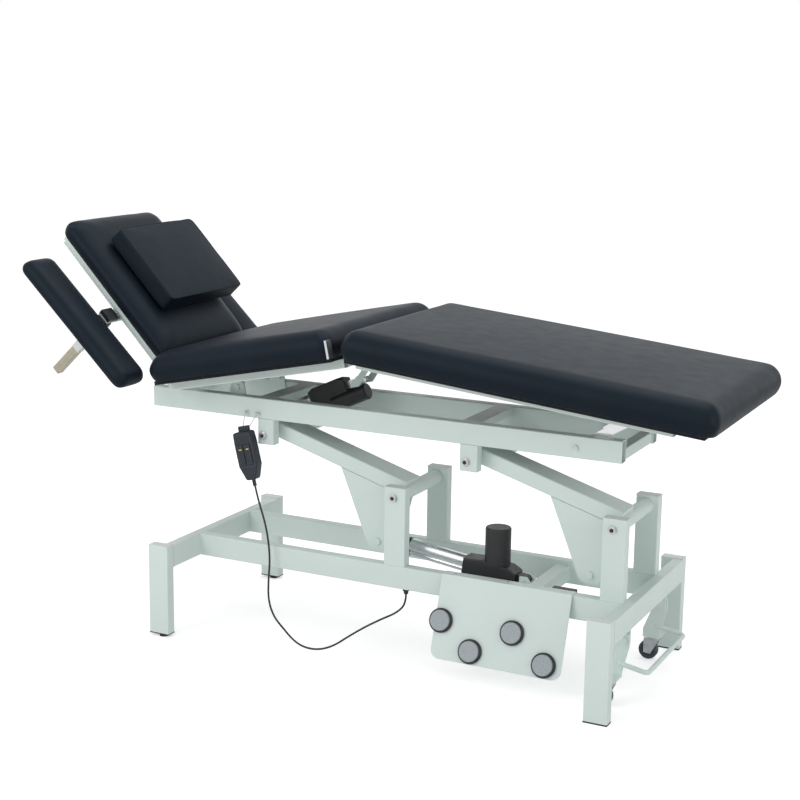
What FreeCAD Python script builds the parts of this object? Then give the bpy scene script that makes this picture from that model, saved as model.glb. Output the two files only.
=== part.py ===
import FreeCAD, Part
import math
import os
from FreeCAD import Vector

os.makedirs("parts", exist_ok=True)

# Treatment bed with a powered lift, a raised knee and a raised back rest.
# Millimetres. X runs to the foot end, Z is up, Y = 0 is the middle of the bed.

# Driving dimensions of the base
LEG_WIDE = 60.0
LEG_DEEP = 30.0
WALL = 2.5
BASE_HALF = 300.0
LEG_TOP = 250.0
HEAD_LEG_X = -575.0
FOOT_LEG_X = 658.0
RAIL_LOW = 190.0
RAIL_IN = 112.0
RAIL_OUT = 142.0
CAP = 3.0
POST_TOP = 454.0
HEAD_POST_X = 47.0
POST_PITCH = 586.0

# Lift linkage: lower and upper pivots, lever bolt and rear clevis
LOW_X = 73.0
LOW_Z = 429.5
ARM_DX = -390.0
ARM_DZ = 117.2
LEVER_DX = -71.0
LEVER_DZ = -138.5
CLEVIS_X = 405.0
CLEVIS_Z = 238.0
ARM_Y0 = -88.0
ARM_Y1 = -8.0
DRIVE_Y = -48.0

# Top frame
TOP_X0 = -665.0
TOP_X1 = 672.0
TOP_LOW = 591.0
TOP_HIGH = 646.0
TOP_IN = 105.0
TOP_OUT = 135.0
CROSS_LOW = 622.0

# Seat, leg and back sections: pivots and photographed tilts in degrees
SEAT_X = -416.0
SEAT_Z = 662.0
SEAT_TILT = 11.85
KNEE_U = 418.0
KNEE_W = 29.0
LEG_TILT = -5.6
HIP_U = -146.0
HIP_W = 35.0
BACK_TILT = 46.4
LINK_X = 556.0
LINK_Z = 617.0
LINK_LONG = 170.0
LINK_TILT = 30.8

# Cushions
PAD_HALF = 310.0
PAD_THICK = 72.0
BACK_HALF = 226.0

# Castor lever
PEDAL_X = 703.0
PEDAL_Z = 165.0

# Shift that sets the middle of the bed's length on X = 0
CENTRE_X = -5.375

NODES = {}


def block(x0, x1, y0, y1, z0, z1):
    """A box between two corners."""
    return Part.makeBox(x1 - x0, y1 - y0, z1 - z0, Vector(x0, y0, z0))


def rod(start, end, radius):
    """A round bar between two points."""
    a = Vector(*start)
    b = Vector(*end)
    return Part.makeCylinder(radius, (b - a).Length, a, b - a)


def round_y(x, z, y0, y1, radius):
    """A round bar across the bed."""
    return Part.makeCylinder(radius, y1 - y0, Vector(x, y0, z), Vector(0, 1, 0))


def tube(x0, x1, y0, y1, z0, z1, along, wall=WALL):
    """A rectangular tube, open at both ends along the named axis."""
    outer = block(x0, x1, y0, y1, z0, z1)
    wx = 0.0 if along == "x" else wall
    wy = 0.0 if along == "y" else wall
    wz = 0.0 if along == "z" else wall
    inner = block(x0 + wx, x1 - wx, y0 + wy, y1 - wy, z0 + wz, z1 - wz)
    edges = []
    for e in outer.Edges:
        d = e.Vertexes[1].Point - e.Vertexes[0].Point
        if abs(getattr(d, along)) > 1e-6:
            edges.append(e)
    return outer.makeFillet(3.0, edges).cut(inner)


def mirror_y(shape):
    """The same piece on the other side of the bed."""
    return shape.mirror(Vector(0, 0, 0), Vector(0, 1, 0))


def both(*shapes):
    """Pieces and their mirror images as one group."""
    return Part.makeCompound(list(shapes) + [mirror_y(s) for s in shapes])


def joined(shapes):
    """One solid out of touching solids."""
    out = shapes[0]
    for s in shapes[1:]:
        out = out.fuse(s)
    return out.removeSplitter()


def plate_xz(points, y0, y1, radius=0.0):
    """A flat plate in the X-Z plane, its upright corners rounded."""
    pts = [Vector(x, y0, z) for x, z in points]
    face = Part.Face(Part.makePolygon(pts + [pts[0]]))
    solid = face.extrude(Vector(0, y1 - y0, 0))
    if radius > 0.0:
        edges = [e for e in solid.Edges
                 if abs(e.Vertexes[1].Point.y - e.Vertexes[0].Point.y) > 1e-6]
        solid = solid.makeFillet(radius, edges)
    return solid


def turned(shape, tilt, x, z):
    """A section drawn flat about its pivot, tilted foot end up and set in place."""
    out = shape.copy()
    out.rotate(Vector(0, 0, 0), Vector(0, 1, 0), -tilt)
    out.translate(Vector(x, 0, z))
    return out


def point_at(u, w, tilt, x, z):
    """The place of a section's own point in the bed."""
    c = math.cos(math.radians(tilt))
    s = math.sin(math.radians(tilt))
    return (x + u * c - w * s, z + u * s + w * c)


def rounded_wire(x0, x1, y0, y1, z, r):
    """A rounded rectangle at one height, lines and arcs in turn."""
    k = r * (1.0 - math.sqrt(0.5))
    edges = [
        Part.makeLine(Vector(x0 + r, y0, z), Vector(x1 - r, y0, z)),
        Part.Arc(Vector(x1 - r, y0, z), Vector(x1 - k, y0 + k, z), Vector(x1, y0 + r, z)).toShape(),
        Part.makeLine(Vector(x1, y0 + r, z), Vector(x1, y1 - r, z)),
        Part.Arc(Vector(x1, y1 - r, z), Vector(x1 - k, y1 - k, z), Vector(x1 - r, y1, z)).toShape(),
        Part.makeLine(Vector(x1 - r, y1, z), Vector(x0 + r, y1, z)),
        Part.Arc(Vector(x0 + r, y1, z), Vector(x0 + k, y1 - k, z), Vector(x0, y1 - r, z)).toShape(),
        Part.makeLine(Vector(x0, y1 - r, z), Vector(x0, y0 + r, z)),
        Part.Arc(Vector(x0, y0 + r, z), Vector(x0 + k, y0 + k, z), Vector(x0 + r, y0, z)).toShape(),
    ]
    return Part.Wire(edges)


def cushion(x0, x1, y0, y1, z0, thick, corner, steps, bevel=0.0):
    """An upholstered pad: sides drawn in at the base, full at the middle, crowned on top.

    The bevel rolls the head end back further above half height.
    """
    wires = []
    for rise, inset in steps:
        roll = bevel * min(max(rise - 0.42, 0.0) / 0.36, 1.0)
        wires.append(rounded_wire(x0 + inset + roll, x1 - inset, y0 + inset, y1 - inset,
                                  z0 + rise * thick, max(corner - 0.4 * inset, 8.0)))
    return Part.makeLoft(wires, True, True)


PAD_STEPS = ((0.0, 9.0), (0.06, 3.0), (0.18, 0.5), (0.42, 0.0), (0.62, 4.0),
             (0.78, 13.0), (0.89, 28.0), (0.96, 56.0), (1.0, 100.0))
ARM_STEPS = ((0.0, 5.0), (0.10, 1.5), (0.30, 0.0), (0.55, 1.5), (0.74, 6.0),
             (0.88, 15.0), (0.96, 28.0), (1.0, 45.0))
BOX_STEPS = ((0.0, 6.0), (0.04, 2.0), (0.12, 0.0), (0.88, 0.0), (0.96, 2.0), (1.0, 6.0))

# Base frame: legs, cross tubes, rails and posts
leg_head = tube(HEAD_LEG_X, HEAD_LEG_X + LEG_WIDE, -BASE_HALF, -BASE_HALF + LEG_DEEP, 10.0, LEG_TOP, "z")
leg_foot = tube(FOOT_LEG_X, FOOT_LEG_X + LEG_WIDE, -BASE_HALF, -BASE_HALF + LEG_DEEP, 4.0, LEG_TOP, "z")
NODES["base_legs"] = both(leg_head, leg_foot)

head_face = HEAD_LEG_X + LEG_WIDE
foot_face = FOOT_LEG_X + LEG_WIDE
leg_in = BASE_HALF - LEG_DEEP
NODES["base_crossbars"] = Part.makeCompound(
    [tube(x1 - LEG_DEEP, x1, -leg_in, leg_in, RAIL_LOW, LEG_TOP, "y") for x1 in (head_face, foot_face)])
rail = tube(head_face, foot_face - LEG_DEEP, -RAIL_OUT, -RAIL_IN, RAIL_LOW, LEG_TOP, "x")
NODES["base_rails"] = both(rail)

post_bore = 12.4
posts = []
for n in range(2):
    px = HEAD_POST_X + n * POST_PITCH
    post = tube(px, px + LEG_WIDE, -RAIL_OUT, -RAIL_IN, LEG_TOP, POST_TOP, "z")
    post = post.cut(round_y(LOW_X + n * POST_PITCH, LOW_Z, -RAIL_OUT - 1, -RAIL_IN + 1, post_bore / 2))
    posts.append(post)
NODES["base_posts"] = both(*posts)


def cap_plug(x0, x1, y0, y1, top):
    """A plastic cap on a tube end with its plug inside the tube."""
    lid = block(x0, x1, y0, y1, top, top + CAP)
    lid = lid.makeFillet(1.2, [e for e in lid.Edges if e.CenterOfMass.z > top + CAP - 0.01])
    g = WALL + 0.2
    plug = block(x0 + g, x1 - g, y0 + g, y1 - g, top - 12.0, top)
    return lid.fuse(plug)


caps = []
for x0 in (HEAD_LEG_X, FOOT_LEG_X):
    caps.append(cap_plug(x0, x0 + LEG_WIDE, -BASE_HALF, -leg_in, LEG_TOP))
for n in range(2):
    px = HEAD_POST_X + n * POST_PITCH
    caps.append(cap_plug(px, px + LEG_WIDE, -RAIL_OUT, -RAIL_IN, POST_TOP))
NODES["base_caps"] = both(*caps)


def glide(x0, bottom):
    """A foot under one leg: plug in the tube, flange under it and a round pad when raised."""
    y0 = -BASE_HALF
    y1 = -leg_in
    g = WALL + 0.2
    plug = block(x0 + g, x0 + LEG_WIDE - g, y0 + g, y1 - g, bottom, bottom + 14.0)
    thin = 3.0 if bottom > 5.0 else bottom
    flange = block(x0, x0 + LEG_WIDE, y0, y1, bottom - thin, bottom)
    foot = plug.fuse(flange)
    if bottom > 5.0:
        mid_y = 0.5 * (y0 + y1)
        foot = foot.fuse(rod((x0 + 36.0, mid_y, 0.0), (x0 + 36.0, mid_y, bottom - thin), 12.0))
    return foot.removeSplitter()


NODES["leg_feet"] = both(glide(HEAD_LEG_X, 10.0), glide(FOOT_LEG_X, 4.0))

# Anchor tube and rear clevis of the lift drive
anchor = tube(425.0, 465.0, -RAIL_IN, RAIL_IN, 200.0, 240.0, "y")
cheeks = []
for y0 in (DRIVE_Y - 20.0, DRIVE_Y + 14.0):
    cheek = plate_xz(((394.0, 224.0), (425.0, 206.0), (425.0, 236.0), (414.0, 250.0), (394.0, 250.0)),
                     y0, y0 + 6.0)
    cheeks.append(cheek)
pin = round_y(CLEVIS_X, CLEVIS_Z, DRIVE_Y - 26.0, DRIVE_Y + 26.0, 5.0)
NODES["drive_anchor"] = joined([anchor] + cheeks + [pin])

# Foot switch panel: a flange on the rail and a plate leaning out at the bottom
PANEL_X0 = 217.0
PANEL_X1 = 565.0
PANEL_TOP_Y = -146.0
PANEL_TOP_Z = 253.0
PANEL_LOW_Y = -215.0
PANEL_LOW_Z = 52.0
SHEET = 3.0
slant_y = PANEL_LOW_Y - PANEL_TOP_Y
slant_z = PANEL_LOW_Z - PANEL_TOP_Z
slant = math.hypot(slant_y, slant_z)
down = Vector(0, slant_y / slant, slant_z / slant)
out_dir = Vector(0, slant_z / slant, -slant_y / slant)
profile = [Vector(PANEL_X0, -118.0, 250.0), Vector(PANEL_X0, -118.0, 253.0),
           Vector(PANEL_X0, PANEL_TOP_Y, PANEL_TOP_Z),
           Vector(PANEL_X0, PANEL_LOW_Y, PANEL_LOW_Z)]
inner_low = profile[3] - out_dir * SHEET
inner_top = Vector(PANEL_X0, -143.2, 250.0)
profile += [inner_low, inner_top]
panel = Part.Face(Part.makePolygon(profile + [profile[0]])).extrude(Vector(PANEL_X1 - PANEL_X0, 0, 0))
corners = []
for e in panel.Edges:
    across = abs(e.Vertexes[1].Point.x - e.Vertexes[0].Point.x)
    if e.CenterOfMass.z < PANEL_LOW_Z + 3 and across < 1e-6:
        corners.append(e)
panel = panel.makeFillet(25.0, corners)
BUTTONS = ((234.0, 143.0), (324.0, 83.0), (427.0, 143.0), (520.0, 83.0))


def on_panel(x, z):
    """The point of the panel's outer face at a given height."""
    k = (z - PANEL_TOP_Z) / slant_z
    return Vector(x, PANEL_TOP_Y + k * slant_y, z)


def front_rims(shape, base, height):
    """The closed edges of a disc on the panel at one height above its face."""
    rims = []
    for e in shape.Edges:
        if e.isClosed() and abs((e.CenterOfMass - base).dot(out_dir) - height) < 0.1:
            rims.append(e)
    return rims


bezels = []
for n, (bx, bz) in enumerate(BUTTONS):
    c = on_panel(bx, bz)
    panel = panel.cut(Part.makeCylinder(19.0, 20.0, c - out_dir * 10.0, out_dir))
    ring = Part.makeCylinder(31.0, 9.0, c, out_dir)
    ring = ring.makeChamfer(2.0, front_rims(ring, c, 9.0))
    ring = ring.cut(Part.makeCylinder(26.5, 11.0, c + out_dir * 2.0, out_dir))
    ring = ring.cut(Part.makeCylinder(15.0, 20.0, c - out_dir * 5.0, out_dir))
    bezels.append(ring)
    disc = Part.makeCylinder(26.0, 8.0, c + out_dir * 6.0, out_dir)
    disc = disc.makeFillet(2.5, front_rims(disc, c, 14.0))
    stem = Part.makeCylinder(14.0, 14.0, c - out_dir * 6.0, out_dir)
    NODES["foot_button_%d" % (n + 1)] = disc.fuse(stem)
NODES["foot_panel"] = panel
NODES["foot_button_bezels"] = Part.makeCompound(bezels)
panel_screws = [rod((x, -130.0, 253.0), (x, -130.0, 255.0), 4.0) for x in (245.0, 391.0, 537.0)]

# Control box inside the near rail and the cord gland under it
box = block(500.0, 560.0, -RAIL_IN, -93.0, 196.0, 252.0)
NODES["control_box"] = box.makeFillet(3.0, [e for e in box.Edges if e.CenterOfMass.y > -100.0])
GLAND = (106.0, -127.0)
gland = rod((GLAND[0], GLAND[1], 184.0), (GLAND[0], GLAND[1], RAIL_LOW), 9.0)
gland = gland.fuse(rod((GLAND[0], GLAND[1], 176.0), (GLAND[0], GLAND[1], 184.0), 6.0))
NODES["cord_gland"] = gland

# Lower pivot bolts, heads outside the posts and shanks in the pivot tubes
bolts = []
for n in range(2):
    bx = LOW_X + n * POST_PITCH
    head = round_y(bx, LOW_Z, -RAIL_OUT - 7.0, -RAIL_OUT, 9.5)
    washer = round_y(bx, LOW_Z, -RAIL_OUT - 1.5, -RAIL_OUT, 12.0)
    shank = round_y(bx, LOW_Z, -RAIL_OUT, -RAIL_IN + 24.0, 6.0)
    bolts.append(joined([shank, head, washer]))
NODES["base_bolts"] = Part.makeCompound(bolts + [mirror_y(b) for b in bolts] + panel_screws)

# Lift arms, drawn about the lower pivot
arm_long = math.hypot(ARM_DX, ARM_DZ)
arm_rise = math.degrees(math.atan2(ARM_DZ, -ARM_DX))
ARM_HIGH = 40.0
ARM_LIFT = 12.0
PIVOT_R = 20.0


def pivot_tube(half):
    """A round tube across the frame with bolt bores in its thick ends."""
    body = round_y(0, 0, -half, half, PIVOT_R)
    body = body.cut(round_y(0, 0, -half + 28.0, half - 28.0, PIVOT_R - 4.0))
    return body.cut(round_y(0, 0, -half - 1, half + 1, 6.4))


low_tube = pivot_tube(RAIL_IN - 0.5)
up_tube = pivot_tube(TOP_IN - 0.5)
up_tube.translate(Vector(ARM_DX, 0, ARM_DZ))
beam = block(-arm_long, 0.0, ARM_Y0, ARM_Y1, ARM_LIFT - ARM_HIGH / 2, ARM_LIFT + ARM_HIGH / 2)
beam = beam.makeFillet(4.0, [e for e in beam.Edges
                             if abs(e.Vertexes[1].Point.x - e.Vertexes[0].Point.x) > 1.0])
hollow = block(-arm_long + 30.0, -30.0, ARM_Y0 + 3.0, ARM_Y1 - 3.0,
               ARM_LIFT - ARM_HIGH / 2 + 3.0, ARM_LIFT + ARM_HIGH / 2 - 3.0)
beam = beam.cut(hollow)
beam.rotate(Vector(0, 0, 0), Vector(0, 1, 0), arm_rise)
for px, pz in ((0.0, 0.0), (ARM_DX, ARM_DZ)):
    beam = beam.cut(round_y(px, pz, ARM_Y0 - 1, ARM_Y1 + 1, PIVOT_R - 0.05))
beam = max(beam.Solids, key=lambda s: s.Volume)
arm = joined([low_tube, up_tube, beam])

# Lever plates under each arm with the lever bolt across them
ux = ARM_DX / arm_long
uz = ARM_DZ / arm_long
under = ARM_HIGH / 2 - ARM_LIFT


def under_arm(s, drop=0.0):
    """A point on the underside of the arm, s from the lower pivot."""
    return (ux * s - uz * (under + drop), uz * s + ux * (under + drop))


plate_points = [under_arm(186.0), (-101.0, -150.0), (-92.0, -160.0), (-50.0, -160.0), (-41.0, -148.0),
                (-8.0, -24.0), under_arm(24.0)]
levers = []
for y0 in (ARM_Y0, ARM_Y1 - 6.0):
    plate = plate_xz(plate_points, y0, y0 + 6.0)
    plate = plate.cut(round_y(0, 0, y0 - 1, y0 + 7, PIVOT_R))
    levers.append(max(plate.Solids, key=lambda s: s.Volume))
lever_bolt = joined([round_y(LEVER_DX, LEVER_DZ, ARM_Y0 - 6.0, ARM_Y1 + 6.0, 6.0),
                     round_y(LEVER_DX, LEVER_DZ, ARM_Y0 - 6.0, ARM_Y0, 9.0),
                     round_y(LEVER_DX, LEVER_DZ, ARM_Y1, ARM_Y1 + 6.0, 9.0)])
lever = joined(levers + [lever_bolt])
for n, name in enumerate(("head", "foot")):
    place = Vector(LOW_X + n * POST_PITCH, 0, LOW_Z)
    a = arm.copy()
    a.translate(place)
    NODES["lift_arm_%s" % name] = a
    v = lever.copy()
    v.translate(place)
    NODES["lift_lever_%s" % name] = v

# Lift drive, drawn along -X from its rear pivot at the origin
drive_dx = LOW_X + LEVER_DX - CLEVIS_X
drive_dz = LOW_Z + LEVER_DZ - CLEVIS_Z
DRIVE_LONG = math.hypot(drive_dx, drive_dz)
DRIVE_RISE = math.degrees(math.atan2(drive_dz, -drive_dx))


def drive_place(shape):
    """Turn a drive piece onto its line and set it at the rear clevis."""
    out = shape.copy()
    out.rotate(Vector(0, 0, 0), Vector(0, 1, 0), DRIVE_RISE)
    out.translate(Vector(CLEVIS_X, DRIVE_Y, CLEVIS_Z))
    return out


lug = block(-24.0, 0.0, -13.5, 13.5, -11.0, 11.0).fuse(round_y(0, 0, -13.5, 13.5, 11.0))
lug = lug.cut(round_y(0, 0, -20, 20, 5.3))
gear = plate_xz(((-22.0, -20.0), (-22.0, 14.0), (-46.0, 24.0), (-120.0, 26.0), (-150.0, 20.0), (-168.0, 18.0),
                 (-168.0, -24.0), (-60.0, -26.0)), -27.0, 27.0)
gear = gear.makeFillet(3.0, [e for e in gear.Edges if abs(e.CenterOfMass.y) > 26.9])
gear_world = drive_place(joined([gear, lug]))
motor_x = CLEVIS_X - 79.0
motor = rod((motor_x, DRIVE_Y, 266.0), (motor_x, DRIVE_Y, 366.0), 33.0)
motor = motor.makeFillet(4.0, [e for e in motor.Edges if e.CenterOfMass.z > 365.0 and e.isClosed()])
NODES["lift_motor"] = motor.cut(gear_world)
TUBE_END = 334.0
main_tube = rod((-168.0, 0, 3.0), (-TUBE_END + 8.0, 0, 3.0), 16.5).cut(
    rod((-160.0, 0, 0.0), (-TUBE_END, 0, 0.0), 11.5))
side_tube = rod((-168.0, 0, -19.0), (-TUBE_END + 8.0, 0, -19.0), 8.0).cut(
    rod((-160.0, 0, -19.0), (-TUBE_END, 0, -19.0), 6.0))
web = block(-TUBE_END + 8.0, -168.0, -5.0, 5.0, -15.0, -11.8)
NODES["lift_tube"] = drive_place(joined([main_tube, side_tube, web]))
end_cap = joined([rod((-TUBE_END + 8.0, 0, 3.0), (-TUBE_END, 0, 3.0), 18.0),
                  rod((-TUBE_END + 8.0, 0, -19.0), (-TUBE_END, 0, -19.0), 9.5)])
end_cap = end_cap.cut(rod((-TUBE_END + 9, 0, 0), (-TUBE_END - 1, 0, 0), 11.0))
NODES["lift_gearbox"] = Part.makeCompound([gear_world, drive_place(end_cap)])
rod_bar = rod((-205.0, 0, 0), (-DRIVE_LONG + 10.0, 0, 0), 10.0)
eye = round_y(-DRIVE_LONG, 0, -18.0, 18.0, 16.0)
eye_bar = joined([rod_bar, eye])
NODES["lift_rod"] = drive_place(eye_bar.cut(round_y(-DRIVE_LONG, 0, -30, 30, 10.4)))

# Top frame: rails, cross tubes, arm brackets
top = tube(TOP_X0, TOP_X1, -TOP_OUT, -TOP_IN, TOP_LOW, TOP_HIGH, "x")
UP_X = LOW_X + ARM_DX
UP_Z = LOW_Z + ARM_DZ
link_bore = round_y(LINK_X, LINK_Z, -TOP_OUT - 1, -TOP_IN + 1, 5.2)
NODES["top_rails"] = both(top.cut(link_bore))
crossbars = [tube(TOP_X0 + 4.0, TOP_X0 + 34.0, -TOP_IN, TOP_IN, 596.0, 636.0, "y"),
             tube(TOP_X1 - 34.0, TOP_X1 - 4.0, -TOP_IN, TOP_IN, 592.0, 621.0, "y")]
brackets = []
for n in range(2):
    bx = UP_X + n * POST_PITCH
    crossbars.append(tube(bx - 25.0, bx + 25.0, -TOP_IN, TOP_IN, CROSS_LOW, TOP_HIGH, "y"))
    bracket = tube(bx - 17.0, bx + 31.0, -TOP_OUT, -TOP_IN, 523.0, TOP_LOW, "z")
    brackets.append(bracket.cut(round_y(bx, UP_Z, -TOP_OUT - 1, -TOP_IN + 1, post_bore / 2)))
NODES["top_crossbars"] = Part.makeCompound(crossbars)
NODES["arm_brackets"] = both(*brackets)

bolts = []
for n in range(2):
    bx = UP_X + n * POST_PITCH
    bolts.append(joined([round_y(bx, UP_Z, -TOP_OUT, -TOP_IN + 24.0, 6.0),
                         round_y(bx, UP_Z, -TOP_OUT - 7.0, -TOP_OUT, 9.5),
                         round_y(bx, UP_Z, -TOP_OUT - 1.5, -TOP_OUT, 12.0)]))
bolts.append(joined([round_y(LINK_X, LINK_Z, -TOP_OUT, -TOP_IN + 9.0, 5.0),
                     round_y(LINK_X, LINK_Z, -TOP_OUT - 5.0, -TOP_OUT, 7.0)]))
NODES["top_bolts"] = both(*bolts)

# Seat pivot lugs and the flex drive anchor on the top frame
lug_plate = plate_xz(((SEAT_X - 34.0, 606.0), (SEAT_X + 34.0, 606.0), (SEAT_X + 18.0, SEAT_Z + 14.0),
                      (SEAT_X - 18.0, SEAT_Z + 14.0)), -TOP_IN, -TOP_IN + 6.0, 6.0)
pivot_pin = joined([round_y(SEAT_X, SEAT_Z, -TOP_IN - 5.0, -TOP_IN + 16.0, 5.0),
                    round_y(SEAT_X, SEAT_Z, -TOP_IN - 5.0, -TOP_IN, 8.0)])
seat_lug = joined([lug_plate, pivot_pin])
FLEX_X = UP_X - 2.0
FLEX_Z = 592.0
flex_cheeks = []
for y0 in (-20.0, 14.0):
    flex_cheeks.append(plate_xz(((FLEX_X - 13.0, FLEX_Z - 12.0), (FLEX_X + 13.0, FLEX_Z - 12.0),
                                 (FLEX_X + 20.0, CROSS_LOW), (FLEX_X - 20.0, CROSS_LOW)), y0, y0 + 6.0))
flex_pin = round_y(FLEX_X, FLEX_Z, -25.0, 25.0, 5.0)
NODES["top_lugs"] = Part.makeCompound([seat_lug, mirror_y(seat_lug), joined(flex_cheeks + [flex_pin])])

# Seat section, drawn flat about its pivot
HINGE_R = 13.0
SEAT_PLANE = 59.0
TUBE = 25.0
FRAME_OUT = 220.0
FRAME_IN = FRAME_OUT - TUBE
seat_low = SEAT_PLANE - 10.0 - TUBE
seat_high = SEAT_PLANE - 10.0
side = tube(-132.0, 402.0, -FRAME_OUT, -FRAME_IN, seat_low, seat_high, "x", 2.0)
seat_bars = []
for u0 in (-132.0, -12.5, 377.0):
    seat_bars.append(tube(u0, u0 + TUBE, -FRAME_IN, FRAME_IN, seat_low, seat_high, "y", 2.0))
ear = plate_xz(((-13.0, -12.0), (13.0, -12.0), (20.0, seat_low), (-20.0, seat_low)), -98.0, -92.0)
ear = ear.cut(round_y(0, 0, -99, -91, 5.3))
FLEX_U = 316.0
FLEX_W = -33.0
HORN_OUT = 42.0
horn = plate_xz(((FLEX_U - 12.0, FLEX_W - 12.0), (FLEX_U + 14.0, FLEX_W - 12.0), (395.0, seat_low),
                 (377.0, seat_low)), -HORN_OUT, -HORN_OUT + 6.0)
horn = joined([horn, round_y(FLEX_U, FLEX_W, -HORN_OUT, 0.0, 5.0)])
seat_knee = joined([round_y(KNEE_U, KNEE_W, -160.5, -152.0, HINGE_R),
                    block(402.0, KNEE_U, -160.5, -152.0, seat_low, KNEE_W + 11.0),
                    round_y(KNEE_U, KNEE_W, -174.0, -152.0, 5.0)])
seat_frame = Part.makeCompound(seat_bars + both(side, ear, horn, seat_knee).Solids)
NODES["seat_frame"] = turned(seat_frame, SEAT_TILT, SEAT_X, SEAT_Z)
board = block(-132.0, 402.0, -285.0, 285.0, seat_high, SEAT_PLANE)
NODES["seat_board"] = turned(board, SEAT_TILT, SEAT_X, SEAT_Z)
pad = cushion(-140.0, 417.3, -PAD_HALF, PAD_HALF, SEAT_PLANE, PAD_THICK, 40.0, PAD_STEPS, 14.0)
NODES["seat_cushion"] = turned(pad, SEAT_TILT, SEAT_X, SEAT_Z)

# Leg section, drawn flat about the knee hinge
knee_x, knee_z = point_at(KNEE_U, KNEE_W, SEAT_TILT, SEAT_X, SEAT_Z)
LEG_PLANE = SEAT_PLANE - KNEE_W
leg_high = LEG_PLANE - 10.0
leg_low = leg_high - TUBE
LEG_END = 836.0
side = tube(16.0, LEG_END, -FRAME_OUT, -FRAME_IN, leg_low, leg_high, "x", 2.0)
bx = LINK_X + LINK_LONG * math.cos(math.radians(LINK_TILT)) - knee_x
bz = LINK_Z + LINK_LONG * math.sin(math.radians(LINK_TILT)) - knee_z
lc = math.cos(math.radians(LEG_TILT))
ls = math.sin(math.radians(LEG_TILT))
link_u = bx * lc + bz * ls
link_w = -bx * ls + bz * lc
leg_bars = []
for u0 in (16.0, link_u + 16.0, LEG_END - TUBE):
    leg_bars.append(tube(u0, u0 + TUBE, -FRAME_IN, FRAME_IN, leg_low, leg_high, "y", 2.0))
tab = plate_xz(((link_u - 12.0, link_w - 12.0), (link_u + 8.0, link_w - 12.0), (link_u + 16.0, leg_low),
                (link_u + 16.0, leg_high), (link_u - 12.0, link_w + 12.0)), -95.0, -89.0)
tab_pin = round_y(link_u, link_w, -104.0, -89.0, 5.0)
link_ear = joined([tab, tab_pin])
leg_knee = joined([round_y(0, 0, -170.0, -161.0, HINGE_R), block(0.0, 16.0, -170.0, -161.0, leg_low, 11.0)])
leg_knee = leg_knee.cut(round_y(0, 0, -171.0, -160.0, 5.3))
leg_frame = Part.makeCompound(leg_bars + both(side, leg_knee, link_ear).Solids)
NODES["leg_frame"] = turned(leg_frame, LEG_TILT, knee_x, knee_z)
board = block(16.0, 925.0, -285.0, 285.0, leg_high, LEG_PLANE)
NODES["leg_board"] = turned(board, LEG_TILT, knee_x, knee_z)
pad = cushion(1.2, 953.0, -PAD_HALF, PAD_HALF, LEG_PLANE, PAD_THICK, 45.0, PAD_STEPS)
NODES["leg_cushion"] = turned(pad, LEG_TILT, knee_x, knee_z)

# Swing links between the top rails and the leg section, with a cross rod
link = plate_xz(((-12.0, -11.0), (LINK_LONG + 12.0, -11.0), (LINK_LONG + 12.0, 11.0), (-12.0, 11.0)),
                -104.0, -98.0, 8.0)
link = link.cut(round_y(0, 0, -110, -90, 5.3)).cut(round_y(LINK_LONG, 0, -110, -90, 7.0))
tie = round_y(LINK_LONG * 0.45, 0, -98.0, 98.0, 6.0)
NODES["leg_link"] = turned(joined([link, mirror_y(link), tie]), LINK_TILT, LINK_X, LINK_Z)

# Back section, drawn flat along +X about the hip hinge and then swung past upright
hip_x, hip_z = point_at(HIP_U, HIP_W, SEAT_TILT, SEAT_X, SEAT_Z)
BACK_PLANE = SEAT_PLANE - HIP_W
back_high = BACK_PLANE - 10.0
back_low = back_high - 20.0
BACK_END = 500.0
BACK_SIDE = 170.0


def back_place(shape):
    """Swing a back piece, drawn flat along -X, up about the hip hinge."""
    out = shape.copy()
    out.rotate(Vector(0, 0, 0), Vector(0, 1, 0), BACK_TILT)
    out.translate(Vector(hip_x, 0, hip_z))
    return out


side = tube(-BACK_END, -22.0, -BACK_SIDE - 20.0, -BACK_SIDE, back_low, back_high, "x", 2.0)
POST_ALONG = 249.0
POST_Y = 236.0
POST_HALF = 12.0
bars = []
for a in (22.0, BACK_END - 20.0):
    bars.append(tube(-a - 20.0, -a, -BACK_SIDE, BACK_SIDE, back_low, back_high, "y", 2.0))
wing = block(-POST_ALONG - 18.0, -POST_ALONG + 18.0, -POST_Y - POST_HALF, POST_Y + POST_HALF,
             back_low - 6.0, back_low)
NODES["back_frame"] = back_place(Part.makeCompound([side, mirror_y(side), wing] + bars))
board = block(-BACK_END, -54.0, -205.0, 205.0, back_high, BACK_PLANE)
NODES["back_board"] = back_place(board)
pad = cushion(-515.0, -52.0, -BACK_HALF, BACK_HALF, BACK_PLANE, PAD_THICK, 38.0, PAD_STEPS)
NODES["back_cushion"] = back_place(pad)
pillow = cushion(-422.0, -176.0, -156.0, 164.0, BACK_PLANE + PAD_THICK, 50.0, 12.0, BOX_STEPS)
NODES["pillow"] = back_place(pillow)

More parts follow.
